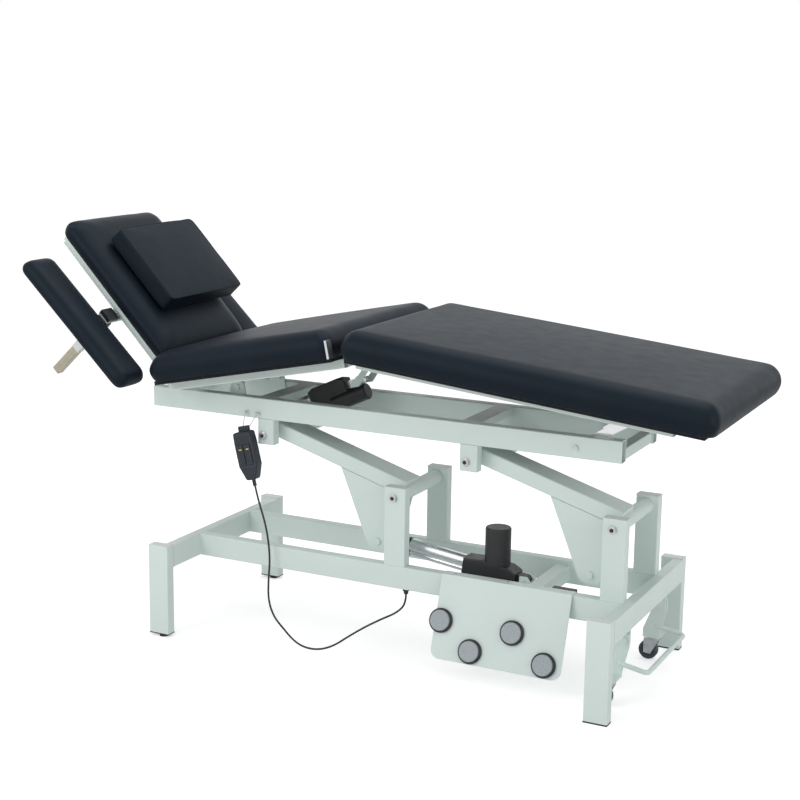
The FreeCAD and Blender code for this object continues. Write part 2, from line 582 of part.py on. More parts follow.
# Ratchet discs that hold the back rest, on the seat side and on the back side
leaf_y = -BACK_SIDE - 20.0
back_leaf = joined([round_y(0, 0, leaf_y, leaf_y + 9.0, HINGE_R),
                    block(-24.0, 0.0, leaf_y, leaf_y + 9.0, -11.0, 11.0)])
back_leaf = back_leaf.cut(round_y(0, 0, leaf_y - 1, leaf_y + 10, 5.3)).cut(side)
NODES["back_hinges"] = back_place(both(back_leaf))
seat_leaf = joined([round_y(HIP_U, HIP_W, -BACK_SIDE - 10.5, -BACK_SIDE - 2.0, HINGE_R),
                    block(HIP_U, -132.0, -BACK_SIDE - 10.5, -BACK_SIDE - 2.0, HIP_W - 11.0, HIP_W + 11.0),
                    round_y(HIP_U, HIP_W, -BACK_SIDE - 24.0, -BACK_SIDE - 2.0, 5.0)])
seat_leaves = turned(both(seat_leaf), SEAT_TILT, SEAT_X, SEAT_Z)
NODES["seat_frame"] = Part.makeCompound(NODES["seat_frame"].Solids + seat_leaves.Solids)

# Arm posts square to the back, with an arm pad and clamp on each
POST_LOW = -238.0
post = tube(-POST_ALONG - POST_HALF, -POST_ALONG + POST_HALF, -POST_Y - POST_HALF, -POST_Y + POST_HALF,
            POST_LOW, back_low - 6.0, "z", 2.0)
NODES["arm_posts"] = back_place(both(post))
ARM_TOP = -10.0
ARM_THICK = 45.0
ARM_WIDE = 126.0
sleeve_top = back_low - 10.0
sleeve = block(-POST_ALONG - 18.0, -POST_ALONG + 18.0, -POST_Y - 17.0, -POST_Y + 17.0,
               ARM_TOP - 49.0, sleeve_top)
sleeve = sleeve.makeFillet(3.0, sleeve.Edges)
gap = POST_HALF + 0.4
sleeve = sleeve.cut(block(-POST_ALONG - gap, -POST_ALONG + gap, -POST_Y - gap, -POST_Y + gap,
                          ARM_TOP - 55.0, sleeve_top + 5.0))
knob_w = ARM_TOP - 27.0
knob = rod((-POST_ALONG + 18.0, -POST_Y, knob_w), (-POST_ALONG + 34.0, -POST_Y, knob_w), 11.0)
clamp = sleeve.fuse(knob)
arm_pad = cushion(-476.0, -42.0, -POST_Y - 17.0 - ARM_WIDE, -POST_Y - 17.0,
                  ARM_TOP - ARM_THICK, ARM_THICK, 14.0, ARM_STEPS)
NODES["arm_clamp_near"] = back_place(clamp)
NODES["arm_clamp_far"] = back_place(mirror_y(clamp))
NODES["arm_pad_near"] = back_place(arm_pad)
NODES["arm_pad_far"] = back_place(mirror_y(arm_pad))

# Flex drive between the top frame and the seat, drawn along +X from its anchor pin
flex_end_x, flex_end_z = point_at(FLEX_U, FLEX_W, SEAT_TILT, SEAT_X, SEAT_Z)
FLEX_LONG = math.hypot(flex_end_x - FLEX_X, flex_end_z - FLEX_Z)
FLEX_RISE = math.degrees(math.atan2(flex_end_z - FLEX_Z, flex_end_x - FLEX_X))


def flex_place(shape):
    """Turn a flex drive piece onto its line and set it at the anchor pin."""
    out = shape.copy()
    out.rotate(Vector(0, 0, 0), Vector(0, 1, 0), -FLEX_RISE)
    out.translate(Vector(FLEX_X, 0, FLEX_Z))
    return out


flex_eye = round_y(0, 0, -13.0, 13.0, 11.0)
flex_bar = joined([rod((8.0, 0, 0), (122.0, 0, 0), 9.0), flex_eye]).cut(round_y(0, 0, -20, 20, 5.3))
NODES["flex_rod"] = flex_place(flex_bar)
flex_tube = rod((46.0, 0, 0), (105.0, 0, 0), 17.0).cut(rod((30.0, 0, 0), (140.0, 0, 0), 9.6))
NODES["flex_tube"] = flex_place(flex_tube)
shell = plate_xz(((88.0, -19.0), (88.0, 21.0), (104.0, 27.0), (186.0, 27.0), (206.0, 19.0), (206.0, -22.0),
                  (186.0, -34.0), (104.0, -34.0)), -24.0, 17.0)
shell = shell.makeFillet(3.0, [e for e in shell.Edges if abs(e.CenterOfMass.y + 3.5) > 20.4])
shell = shell.cut(rod((80.0, 0, 0), (105.0, 0, 0), 17.0)).cut(rod((80.0, 0, 0), (150.0, 0, 0), 9.6))
FLEX_MOTOR_END = 258.0
flex_motor = rod((150.0, -10.0, -33.0), (FLEX_MOTOR_END, -10.0, -33.0), 23.0)
flex_motor = flex_motor.makeFillet(6.0, [e for e in flex_motor.Edges
                                         if e.CenterOfMass.x > FLEX_MOTOR_END - 1.0 and e.isClosed()])
flex_nose = joined([block(200.0, FLEX_LONG, -9.0, 9.0, -10.0, 10.0), round_y(FLEX_LONG, 0, -9.0, 9.0, 13.0)])
flex_nose = flex_nose.cut(round_y(FLEX_LONG, 0, -20, 20, 7.4))
unit = joined([shell, flex_motor, flex_nose])
NODES["flex_motor"] = flex_place(unit)

# Castor lever under the foot crossbar: ears, side plates and a U-shaped pedal
ear = plate_xz(((PEDAL_X - 12.0, PEDAL_Z - 12.0), (PEDAL_X + 12.0, PEDAL_Z - 12.0),
                (PEDAL_X + 12.0, RAIL_LOW), (PEDAL_X - 12.0, RAIL_LOW)), -144.0, -138.0)
ear_pin = joined([round_y(PEDAL_X, PEDAL_Z, -160.0, -138.0, 5.0),
                  round_y(PEDAL_X, PEDAL_Z, -162.0, -156.0, 8.0)])
castor_ear = joined([ear, ear_pin])
NODES["base_crossbars"] = Part.makeCompound(NODES["base_crossbars"].Solids + both(castor_ear).Solids)
BAR_R = 6.0
BAR_Y = 150.0
CASTOR_X = 678.0
CASTOR_Y = 178.0
SEAT_HIGH = 74.0
cheek = plate_xz(((PEDAL_X - 14.0, PEDAL_Z + 14.0), (PEDAL_X + 14.0, PEDAL_Z + 14.0), (PEDAL_X + 14.0, 150.0),
                  (702.0, 88.0), (700.0, SEAT_HIGH), (656.0, SEAT_HIGH), (656.0, 92.0)), -153.0, -147.0, 4.0)
cheek = cheek.cut(round_y(PEDAL_X, PEDAL_Z, -160, -140, 5.3))
shelf = block(656.0, 700.0, -200.0, -147.0, SEAT_HIGH - 5.0, SEAT_HIGH)
bar_near = rod((690.0, -BAR_Y, 103.5), (753.0, -BAR_Y, 92.2), BAR_R)
tip = Vector(753.0, -BAR_Y, 92.2)
slope = Vector(63.0, 0, -11.3)
slope.normalize()
bend = Part.makeTorus(12.0, BAR_R, Vector(0, 0, 0), Vector(0, 0, 1), -180, 180, 90)
bend.rotate(Vector(0, 0, 0), Vector(0, 0, 1), -90)
bend.rotate(Vector(0, 0, 0), Vector(0, 1, 0), math.degrees(math.atan2(11.3, 63.0)))
bend.translate(tip + Vector(0, 12.0, 0))
corner = tip + slope * 12.0
cross = rod((corner.x, -BAR_Y + 12.0, corner.z), (corner.x, BAR_Y - 12.0, corner.z), BAR_R)
half_lever = [cheek, shelf, bar_near, bend]
pieces = half_lever + [mirror_y(p) for p in half_lever] + [cross]
NODES["castor_lever"] = joined(pieces)

# Castors: swivel fork and wheel
WHEEL_R = 25.0
WHEEL_X = CASTOR_X - 14.0
WHEEL_Z = WHEEL_R + 1.0
head_disc = rod((CASTOR_X, -CASTOR_Y, SEAT_HIGH - 14.0), (CASTOR_X, -CASTOR_Y, SEAT_HIGH - 5.4), 16.0)
fork_top = block(WHEEL_X - 10.0, CASTOR_X + 14.0, -CASTOR_Y - 14.0, -CASTOR_Y + 14.0, 55.0, SEAT_HIGH - 14.0)
prongs = []
for y0 in (-CASTOR_Y - 14.0, -CASTOR_Y + 11.0):
    prongs.append(plate_xz(((WHEEL_X - 10.0, 55.0), (WHEEL_X - 10.0, WHEEL_Z - 6.0),
                            (WHEEL_X + 9.0, WHEEL_Z - 8.0), (CASTOR_X + 14.0, 55.0)), y0, y0 + 3.0))
axle = round_y(WHEEL_X, WHEEL_Z, -CASTOR_Y - 16.0, -CASTOR_Y + 16.0, 4.0)
fork = joined([head_disc, fork_top] + prongs + [axle])
wheel = round_y(WHEEL_X, WHEEL_Z, -CASTOR_Y - 10.0, -CASTOR_Y + 10.0, WHEEL_R)
wheel = wheel.makeFillet(4.0, [e for e in wheel.Edges if e.isClosed()])
wheel = wheel.cut(round_y(WHEEL_X, WHEEL_Z, -CASTOR_Y - 20, -CASTOR_Y + 20, 4.06))
for y in (-CASTOR_Y - 10.0, -CASTOR_Y + 7.0):
    ring = round_y(WHEEL_X, WHEEL_Z, y, y + 3.0, 17.0).cut(round_y(WHEEL_X, WHEEL_Z, y - 1, y + 4, 9.0))
    wheel = wheel.cut(ring)
NODES["castor_fork_near"] = fork
NODES["castor_fork_far"] = mirror_y(fork)
NODES["castor_wheel_near"] = wheel
NODES["castor_wheel_far"] = mirror_y(wheel)

# Handset hung on two wire hooks, drawn upright about its top centre
HAND_X = -366.0
HAND_Z = 556.0
HAND_TILT = 14.0
HAND_Y = -156.0


def hand_place(shape):
    """Lean a handset piece and hang it in front of the near top rail."""
    out = shape.copy()
    out.rotate(Vector(0, 0, 0), Vector(0, 1, 0), -HAND_TILT)
    out.translate(Vector(HAND_X, HAND_Y, HAND_Z))
    return out


outline = ((-27.0, 0.0), (27.0, 0.0), (29.0, -30.0), (29.0, -92.0), (14.0, -130.0), (-14.0, -130.0),
           (-29.0, -92.0), (-29.0, -30.0))
shell = plate_xz(outline, -14.0, 14.0, 7.0)
shell = shell.makeFillet(4.0, [e for e in shell.Edges if abs(abs(e.CenterOfMass.y) - 14.0) < 0.01])
key_places = ((-11.0, -60.0), (11.0, -60.0))
for kx, kz in key_places:
    shell = shell.cut(block(kx - 8.4, kx + 8.4, -20.0, -8.0, kz - 26.4, kz + 26.4))
clip = block(-16.0, 16.0, 2.0, 10.0, 0.0, 14.0)
clip = clip.makeFillet(2.0, [e for e in clip.Edges if e.CenterOfMass.z > 13.9])
boot = rod((0, 0, -130.0), (0, 0, -148.0), 5.0)
NODES["handset_body"] = hand_place(joined([shell, clip, boot]))
for n, (kx, kz) in enumerate(key_places):
    key = block(kx - 8.0, kx + 8.0, -16.5, -10.0, kz - 26.0, kz + 26.0)
    key = key.makeFillet(1.5, [e for e in key.Edges if e.CenterOfMass.y < -16.4])
    NODES["handset_key_%d" % (n + 1)] = hand_place(key)
hooks = []
for hx in (-366.0, -330.0):
    peg = rod((hx, -TOP_OUT, 606.0), (hx, -TOP_OUT - 11.0, 606.0), 3.0)
    knob = Part.makeSphere(4.5, Vector(hx, -TOP_OUT - 11.0, 606.0))
    hooks.append(peg.fuse(knob))
for hx, cx in ((-366.0, -371.0), (-330.0, -351.0)):
    wire = rod((hx, -146.0, 606.0), (cx, -149.0, 570.0), 1.2)
    wire = wire.cut(Part.makeSphere(4.6, Vector(hx, -TOP_OUT - 11.0, 606.0)))
    hooks.append(wire.cut(NODES["handset_body"]))
NODES["handset_hooks"] = Part.makeCompound(hooks)

# Handset cord: straight runs joined by tangent arcs
boot_end = hand_place(Part.Vertex(0, 0, -148.3)).Point
boot_run = hand_place(Part.Vertex(0, 0, -187.0)).Point
CORD_R = 2.6


def cord_route(points):
    """A wire of straight runs and tangent arcs, with its length and arc radii."""
    pts = [Vector(*p) for p in points]
    edges = []
    radii = []
    start = pts[0]
    for n in range(1, len(pts) - 1):
        back = pts[n - 1] - pts[n]
        ahead = pts[n + 1] - pts[n]
        turn = math.pi - back.getAngle(ahead)
        radius = 0.45 * min(back.Length, ahead.Length) / math.tan(turn / 2)
        reach = radius * math.tan(turn / 2)
        back.normalize()
        ahead.normalize()
        a = pts[n] + back * reach
        b = pts[n] + ahead * reach
        middle = back + ahead
        middle.normalize()
        m = pts[n] + middle * (radius / math.cos(turn / 2) - radius)
        edges.append(Part.makeLine(start, a))
        edges.append(Part.Arc(a, m, b).toShape())
        radii.append(radius)
        start = b
    edges.append(Part.makeLine(start, pts[-1]))
    return Part.Wire(edges), radii


CORD = [(boot_end.x, boot_end.y, boot_end.z), (boot_run.x, boot_run.y, boot_run.z),
        (-298.0, -160.0, 320.0), (-285.0, -163.0, 268.0), (-279.0, -166.0, 215.0), (-281.0, -171.0, 162.0),
        (-276.0, -180.0, 110.0), (-252.0, -192.0, 72.0), (-214.0, -204.0, 46.0), (-178.0, -216.0, 22.0),
        (-140.0, -224.0, 9.0), (-98.0, -222.0, 9.5), (-60.0, -212.0, 26.0), (-25.0, -196.0, 56.0),
        (12.0, -178.0, 84.0), (50.0, -158.0, 106.0), (86.0, -138.0, 124.0),
        (GLAND[0], GLAND[1], 148.0), (GLAND[0], GLAND[1], 175.7)]
cord_wire, cord_radii = cord_route(CORD)
first = cord_wire.Edges[0]
circle = Part.makeCircle(CORD_R, Vector(*CORD[0]), first.tangentAt(first.FirstParameter))
cord = cord_wire.makePipeShell([Part.Wire(circle)], True, False, 2)
NODES["handset_cord"] = cord
ideal = math.pi * CORD_R ** 2 * cord_wire.Length
print("cord radii %.0f to %.0f, length %.0f, volume ratio %.4f, lowest %.1f"
      % (min(cord_radii), max(cord_radii), cord_wire.Length, cord.Volume / ideal, cord.BoundBox.ZMin))


def export_all():
    """Write every node and print what was made."""
    total = 0
    for name, shape in NODES.items():
        if not shape.isValid():
            print("INVALID", name)
        shape.translate(Vector(CENTRE_X, 0, 0))
        shape.exportStep("parts/%s.step" % name)
        total += 1
    print("nodes", total)
    box = Part.makeCompound([s for n, s in NODES.items() if n != "handset_cord"]).BoundBox
    sides = (box.XMin, box.XMax, box.YMin, box.YMax, box.ZMin, box.ZMax)
    print("box", [round(v, 2) for v in sides])
    print("knee %.3f %.3f, hip %.3f %.3f" % (knee_x, knee_z, hip_x, hip_z))
    print("flex drive end %.3f %.3f" % (flex_end_x, flex_end_z))


if __name__ == "__main__":
    export_all()
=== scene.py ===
# %% [markdown]
# A treatment bed, dressed for a studio picture. The CAD model gives every rigid piece at its true
# size, so this lesson only adds what CAD can't: soft upholstery, a limp cord and good finishes.
# Loading the frame first means that every later piece can simply be drawn where it belongs.

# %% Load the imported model
import math

import bpy
import numpy as np
from mathutils import Matrix, Vector


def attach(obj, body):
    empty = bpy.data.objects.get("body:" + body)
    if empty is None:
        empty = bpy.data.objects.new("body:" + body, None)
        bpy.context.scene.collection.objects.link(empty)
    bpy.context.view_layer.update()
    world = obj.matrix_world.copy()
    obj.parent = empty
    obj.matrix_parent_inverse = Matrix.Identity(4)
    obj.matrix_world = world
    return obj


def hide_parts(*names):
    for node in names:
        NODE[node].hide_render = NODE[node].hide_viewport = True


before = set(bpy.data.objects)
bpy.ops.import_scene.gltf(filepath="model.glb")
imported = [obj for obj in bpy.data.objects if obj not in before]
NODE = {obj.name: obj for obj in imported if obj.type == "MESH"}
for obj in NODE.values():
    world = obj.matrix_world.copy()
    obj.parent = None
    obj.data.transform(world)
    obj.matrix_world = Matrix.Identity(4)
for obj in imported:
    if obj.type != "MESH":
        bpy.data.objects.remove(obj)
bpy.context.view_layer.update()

# %% [markdown]
# The bed's sections are drawn flat and then turned about their pivots, as a maker would draw them.
# Three small frames of reference (seat, leg, back) carry points from a section into the bed, so each
# cushion can be described with plain lengths along, across and above its own board.

# %% Sections of the bed
CENTRE_X = -0.005375
SEAT_PIVOT = (-0.416 + CENTRE_X, 0.662)
KNEE_PIVOT = (-0.012863 + CENTRE_X, 0.776218)
HIP_PIVOT = (-0.566076 + CENTRE_X, 0.666273)
SEAT_TILT = math.radians(-11.85)
LEG_TILT = math.radians(5.6)
BACK_TILT = math.radians(46.4)


def carry(points, pivot, tilt):
    """Turn points about +Y and move them to a pivot: x' = x cos + z sin, z' = z cos - x sin."""
    p = np.asarray(points, float)
    c, s = math.cos(tilt), math.sin(tilt)
    out = p.copy()
    out[:, 0] = p[:, 0] * c + p[:, 2] * s + pivot[0]
    out[:, 2] = p[:, 2] * c - p[:, 0] * s + pivot[1]
    return out


def on_seat(points):
    """Points of the seat section, x along the seat from its pivot."""
    return carry(points, SEAT_PIVOT, SEAT_TILT)


def on_leg(points):
    """Points of the leg section, x along the legs from the knee."""
    return carry(points, KNEE_PIVOT, LEG_TILT)


def on_back(points):
    """Points of the back section, x negative up the back from the hip."""
    return carry(points, HIP_PIVOT, BACK_TILT)


ARM_PIVOT = (-0.249, -0.020)
ARM_LEAN = math.radians(-2.5)


def on_arm(points):
    """Points of an arm pad, drawn along the back and leaned a little about its clamp."""
    p = np.asarray(points, float) - np.array((ARM_PIVOT[0], 0.0, ARM_PIVOT[1]))
    return on_back(carry(p, ARM_PIVOT, ARM_LEAN))


# %% [markdown]
# The camera repeats the photographer's: its place, its slight roll and its focal length were fitted
# to straight edges of the bed. Building its matrix from the three axes avoids any guess at angles.

# %% Camera at the photograph's viewing angle
CAMERA_AT = Vector((1.82295 + CENTRE_X, -3.62562, 1.49343))
AZIMUTH, ELEVATION, ROLL = math.radians(26.47), math.radians(11.72), math.radians(0.80)
LENS_MM = 71.3
look = Vector((-math.sin(AZIMUTH) * math.cos(ELEVATION), math.cos(AZIMUTH) * math.cos(ELEVATION),
               -math.sin(ELEVATION)))
side = Vector((math.cos(AZIMUTH), math.sin(AZIMUTH), 0.0))
rise = side.cross(look)
right = side * math.cos(ROLL) + rise * math.sin(ROLL)
upward = rise * math.cos(ROLL) - side * math.sin(ROLL)
camera = bpy.data.objects.new("camera", bpy.data.cameras.new("camera"))
bpy.context.scene.collection.objects.link(camera)
camera.data.sensor_width = 36.0
camera.data.sensor_fit = "HORIZONTAL"
camera.data.lens = LENS_MM
camera.data.clip_end = 60.0
camera.matrix_world = Matrix((
    (right.x, upward.x, -look.x, CAMERA_AT.x),
    (right.y, upward.y, -look.y, CAMERA_AT.y),
    (right.z, upward.z, -look.z, CAMERA_AT.z),
    (0.0, 0.0, 0.0, 1.0)))
bpy.context.scene.camera = camera
bpy.context.scene.view_settings.view_transform = "Standard"
print("camera", tuple(round(v, 3) for v in CAMERA_AT))

# %% [markdown]
# A product picture on white: a pale sky all round, one large soft lamp above, one in front and one at
# the side. The sky is plain white to the camera and in reflections, and gentler as a light, so the
# white frame keeps its shading.

# %% Studio light, sky and floor
SKY_LIGHT = 0.62
FLOOR_HALF = 14.0
FLOOR_GREY = 0.86
FLOOR_GLOW = 0.5
world = bpy.data.worlds.new("studio")
bpy.context.scene.world = world
world.use_nodes = True
wn, wl = world.node_tree.nodes, world.node_tree.links
wn.clear()
path = wn.new("ShaderNodeLightPath")
seen = wn.new("ShaderNodeMath")
seen.operation = "MAXIMUM"
wl.new(path.outputs["Is Camera Ray"], seen.inputs[0])
wl.new(path.outputs["Is Transmission Ray"], seen.inputs[1])
seen_all = wn.new("ShaderNodeMath")
seen_all.operation = "MAXIMUM"
wl.new(seen.outputs[0], seen_all.inputs[0])
wl.new(path.outputs["Is Glossy Ray"], seen_all.inputs[1])
strength = wn.new("ShaderNodeMapRange")
strength.inputs["To Min"].default_value = SKY_LIGHT
strength.inputs["To Max"].default_value = 1.0
wl.new(seen_all.outputs[0], strength.inputs["Value"])
sky = wn.new("ShaderNodeBackground")
sky.inputs["Color"].default_value = (1.0, 1.0, 1.0, 1.0)
wl.new(strength.outputs[0], sky.inputs["Strength"])
world_out = wn.new("ShaderNodeOutputWorld")
wl.new(sky.outputs[0], world_out.inputs["Surface"])


def soft_lamp(name, place, target, size, power):
    """A square area lamp of a given size and power, turned to look at a point."""
    data = bpy.data.lights.new(name, "AREA")
    data.shape = "SQUARE"
    data.size = size
    data.energy = power
    lamp = bpy.data.objects.new(name, data)
    lamp.location = place
    lamp.rotation_euler = (Vector(target) - Vector(place)).to_track_quat("-Z", "Y").to_euler()
    bpy.context.scene.collection.objects.link(lamp)
    return lamp


soft_lamp("lamp_above", (0.3, 0.2, 3.6), (0.0, 0.0, 0.6), 2.6, 46.0)
soft_lamp("lamp_front", (-1.6, -3.4, 2.2), (0.0, 0.0, 0.5), 2.0, 34.0)
soft_lamp("lamp_side", (3.6, -1.2, 1.6), (0.2, 0.0, 0.5), 1.8, 16.0)

floor_mesh = bpy.data.meshes.new("floor")
floor_mesh.from_pydata([(-FLOOR_HALF, -FLOOR_HALF, 0), (FLOOR_HALF, -FLOOR_HALF, 0),
                        (FLOOR_HALF, FLOOR_HALF, 0), (-FLOOR_HALF, FLOOR_HALF, 0)], [], [(0, 1, 2, 3)])
floor = bpy.data.objects.new("floor", floor_mesh)
bpy.context.scene.collection.objects.link(floor)
floor_mat = bpy.data.materials.new("floor_white")
floor_mat.use_nodes = True
fn, fl = floor_mat.node_tree.nodes, floor_mat.node_tree.links
fn.clear()
floor_path = fn.new("ShaderNodeLightPath")
floor_matte = fn.new("ShaderNodeBsdfDiffuse")
floor_matte.inputs["Color"].default_value = (FLOOR_GREY, FLOOR_GREY, FLOOR_GREY, 1.0)
floor_glow = fn.new("ShaderNodeEmission")
floor_glow.inputs["Color"].default_value = (1.0, 1.0, 1.0, 1.0)
glow_seen = fn.new("ShaderNodeMath")
glow_seen.operation = "MULTIPLY"
glow_seen.inputs[1].default_value = FLOOR_GLOW
fl.new(floor_path.outputs["Is Camera Ray"], glow_seen.inputs[0])
fl.new(glow_seen.outputs[0], floor_glow.inputs["Strength"])
floor_sum = fn.new("ShaderNodeAddShader")
fl.new(floor_matte.outputs[0], floor_sum.inputs[0])
fl.new(floor_glow.outputs[0], floor_sum.inputs[1])
floor_out = fn.new("ShaderNodeOutputMaterial")
fl.new(floor_sum.outputs[0], floor_out.inputs["Surface"])
floor_mesh.materials.append(floor_mat)
print("three lamps, sky", SKY_LIGHT, "and a white floor")

# %% [markdown]
# The handset's cord is one limp lead from the handset's boot down to just above the floor and up to the
# gland under the rail. A spline with the route's corner points as its controls runs smoothly inside
# those corners, as a real lead hangs, where a polyline would look like bent wire. Its half thickness is
# the radius of its points, because Blender's box of a curve grows by that radius.

# %% Handset cord
CORD_POINTS = np.array([
    (-330.12, -156.0, 412.11), (-320.76, -156.0, 374.55), (-298.0, -160.0, 320.0), (-285.0, -163.0, 268.0),
    (-279.0, -166.0, 215.0), (-281.0, -171.0, 162.0), (-276.0, -180.0, 110.0), (-252.0, -192.0, 72.0),
    (-214.0, -204.0, 48.0), (-178.0, -216.0, 27.0), (-140.0, -224.0, 16.5), (-98.0, -222.0, 17.0),
    (-60.0, -212.0, 31.0), (-25.0, -196.0, 58.0), (12.0, -178.0, 84.0), (50.0, -158.0, 106.0),
    (86.0, -138.0, 124.0), (106.0, -127.0, 148.0), (106.0, -127.0, 175.7)]) / 1000.0
CORD_POINTS[:, 0] += CENTRE_X
CORD_RADIUS = 0.0026
cord_curve = bpy.data.curves.new("handset_lead", "CURVE")
cord_curve.dimensions = "3D"
cord_curve.bevel_depth = 1.0
cord_curve.bevel_resolution = 4
cord_curve.resolution_u = 10
cord_curve.use_fill_caps = True
spline = cord_curve.splines.new("NURBS")
spline.points.add(len(CORD_POINTS) - 1)
spline.points.foreach_set("co", np.c_[CORD_POINTS, np.ones(len(CORD_POINTS))].ravel())
spline.points.foreach_set("radius", np.full(len(CORD_POINTS), CORD_RADIUS))
spline.order_u = 3
spline.use_endpoint_u = True
lead = bpy.data.objects.new("handset_lead", cord_curve)
bpy.context.scene.collection.objects.link(lead)
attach(lead, "handset_cord")
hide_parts("handset_cord")
print("cord of", len(CORD_POINTS), "control points")

# %% [markdown]
# Finishes come next, because every later piece wears one. Each is a Principled shader whose even
# values sit on its own sockets; noise on Object coordinates adds the small unevenness that powder
# coat, moulded plastic and vinyl show when light slides across them.


# %% Helpers for finishes
def finish(name, color, roughness, metallic=0.0, **sockets):
    """A Principled material with even values; extra sockets go by their names with _ for spaces."""
    mat = bpy.data.materials.new(name)
    mat.use_nodes = True
    shader = mat.node_tree.nodes["Principled BSDF"]
    shader.inputs["Base Color"].default_value = (*color, 1.0)
    shader.inputs["Roughness"].default_value = roughness
    shader.inputs["Metallic"].default_value = metallic
    for key, value in sockets.items():
        shader.inputs[key.replace("_", " ")].default_value = value
    return mat


def coordinates(mat, stretch=(1.0, 1.0, 1.0)):
    """Object coordinates, stretched along the axes."""
    nodes, links = mat.node_tree.nodes, mat.node_tree.links
    place = nodes.new("ShaderNodeTexCoord")
    mapping = nodes.new("ShaderNodeMapping")
    mapping.inputs["Scale"].default_value = stretch
    links.new(place.outputs["Object"], mapping.inputs["Vector"])
    return mapping.outputs["Vector"]


def noise(mat, scale, detail=3.0, stretch=(1.0, 1.0, 1.0)):
    """Soft noise with so many waves in a metre."""
    node = mat.node_tree.nodes.new("ShaderNodeTexNoise")
    node.inputs["Scale"].default_value = scale
    node.inputs["Detail"].default_value = detail
    mat.node_tree.links.new(coordinates(mat, stretch), node.inputs["Vector"])
    return node.outputs["Fac"]


def cells(mat, scale):
    """Rounded cells with so many in a metre, as on grained vinyl."""
    node = mat.node_tree.nodes.new("ShaderNodeTexVoronoi")
    node.feature = "SMOOTH_F1"
    node.inputs["Scale"].default_value = scale
    mat.node_tree.links.new(coordinates(mat), node.inputs["Vector"])
    return node.outputs["Distance"]


def bump(mat, height, depth, strength=0.5):
    """Raise the surface by a height pattern of a given depth in metres; calls add up."""
    nodes, links = mat.node_tree.nodes, mat.node_tree.links
    shader = nodes["Principled BSDF"]
    node = nodes.new("ShaderNodeBump")
    node.inputs["Strength"].default_value = strength
    node.inputs["Distance"].default_value = depth
    links.new(height, node.inputs["Height"])
    if shader.inputs["Normal"].is_linked:
        links.new(shader.inputs["Normal"].links[0].from_socket, node.inputs["Normal"])
    links.new(node.outputs["Normal"], shader.inputs["Normal"])


def vary(mat, pattern, socket, low, high):
    """Let a pattern move a number socket between two values."""
    nodes, links = mat.node_tree.nodes, mat.node_tree.links
    node = nodes.new("ShaderNodeMapRange")
    node.inputs["From Min"].default_value = 0.3
    node.inputs["From Max"].default_value = 0.7
    node.inputs["To Min"].default_value = low
    node.inputs["To Max"].default_value = high
    links.new(pattern, node.inputs["Value"])
    links.new(node.outputs["Result"], nodes["Principled BSDF"].inputs[socket])


def tint(mat, pattern, low, high):
    """Let a pattern move the base colour between two colours."""
    nodes, links = mat.node_tree.nodes, mat.node_tree.links
    ramp = nodes.new("ShaderNodeValToRGB")
    ramp.color_ramp.elements[0].position = 0.3
    ramp.color_ramp.elements[1].position = 0.7
    ramp.color_ramp.elements[0].color = (*low, 1.0)
    ramp.color_ramp.elements[1].color = (*high, 1.0)
    links.new(pattern, ramp.inputs["Fac"])
    links.new(ramp.outputs["Color"], nodes["Principled BSDF"].inputs["Base Color"])


# %% The bed's finishes
coat = finish("powder_coat", (0.70, 0.80, 0.768), 0.42, Specular_IOR_Level=0.45)
tint(coat, noise(coat, 6.0), (0.688, 0.788, 0.757), (0.712, 0.812, 0.779))
vary(coat, noise(coat, 40.0), "Roughness", 0.38, 0.48)
bump(coat, noise(coat, 700.0), 0.0002, 0.12)

vinyl = finish("black_vinyl", (0.0078, 0.0122, 0.0185), 0.44, Specular_IOR_Level=0.12,
               Specular_Tint=(0.70, 0.88, 1.0, 1.0))
tint(vinyl, noise(vinyl, 9.0), (0.0068, 0.0109, 0.0168), (0.0088, 0.0135, 0.0202))
vary(vinyl, noise(vinyl, 26.0), "Roughness", 0.42, 0.47)
bump(vinyl, cells(vinyl, 620.0), 0.0004, 0.10)

piping = finish("vinyl_seam", (0.010, 0.0145, 0.021), 0.5, Specular_IOR_Level=0.12,
                Specular_Tint=(0.70, 0.88, 1.0, 1.0))
bump(piping, noise(piping, 420.0), 0.0004, 0.5)

board = finish("covered_board", (0.014, 0.017, 0.021), 0.75, Specular_IOR_Level=0.2)
tint(board, noise(board, 80.0), (0.011, 0.014, 0.0175), (0.018, 0.0215, 0.026))
bump(board, noise(board, 900.0), 0.0003, 0.3)

chrome = finish("chrome", (0.86, 0.87, 0.88), 0.12, 1.0)
vary(chrome, noise(chrome, 60.0), "Roughness", 0.08, 0.18)

zinc = finish("zinc_steel", (0.62, 0.63, 0.64), 0.36, 1.0)
tint(zinc, noise(zinc, 90.0), (0.54, 0.55, 0.56), (0.68, 0.69, 0.70))
vary(zinc, noise(zinc, 160.0), "Roughness", 0.28, 0.44)

drawn = finish("drawn_aluminium", (0.72, 0.74, 0.76), 0.3, 1.0)
vary(drawn, noise(drawn, 60.0, 2.0, (1.0, 14.0, 14.0)), "Roughness", 0.24, 0.40)
bump(drawn, noise(drawn, 60.0, 2.0, (1.0, 20.0, 20.0)), 0.0002, 0.15)

# This moulded black also paints the shade in the bolt sockets.
moulded = finish("moulded_black", (0.016, 0.016, 0.018), 0.46)
vary(moulded, noise(moulded, 120.0), "Roughness", 0.40, 0.55)
bump(moulded, noise(moulded, 1100.0), 0.0002, 0.35)

rubber = finish("wheel_rubber", (0.055, 0.075, 0.090), 0.6)
tint(rubber, noise(rubber, 50.0), (0.046, 0.064, 0.078), (0.064, 0.086, 0.102))
bump(rubber, noise(rubber, 600.0), 0.0002, 0.3)

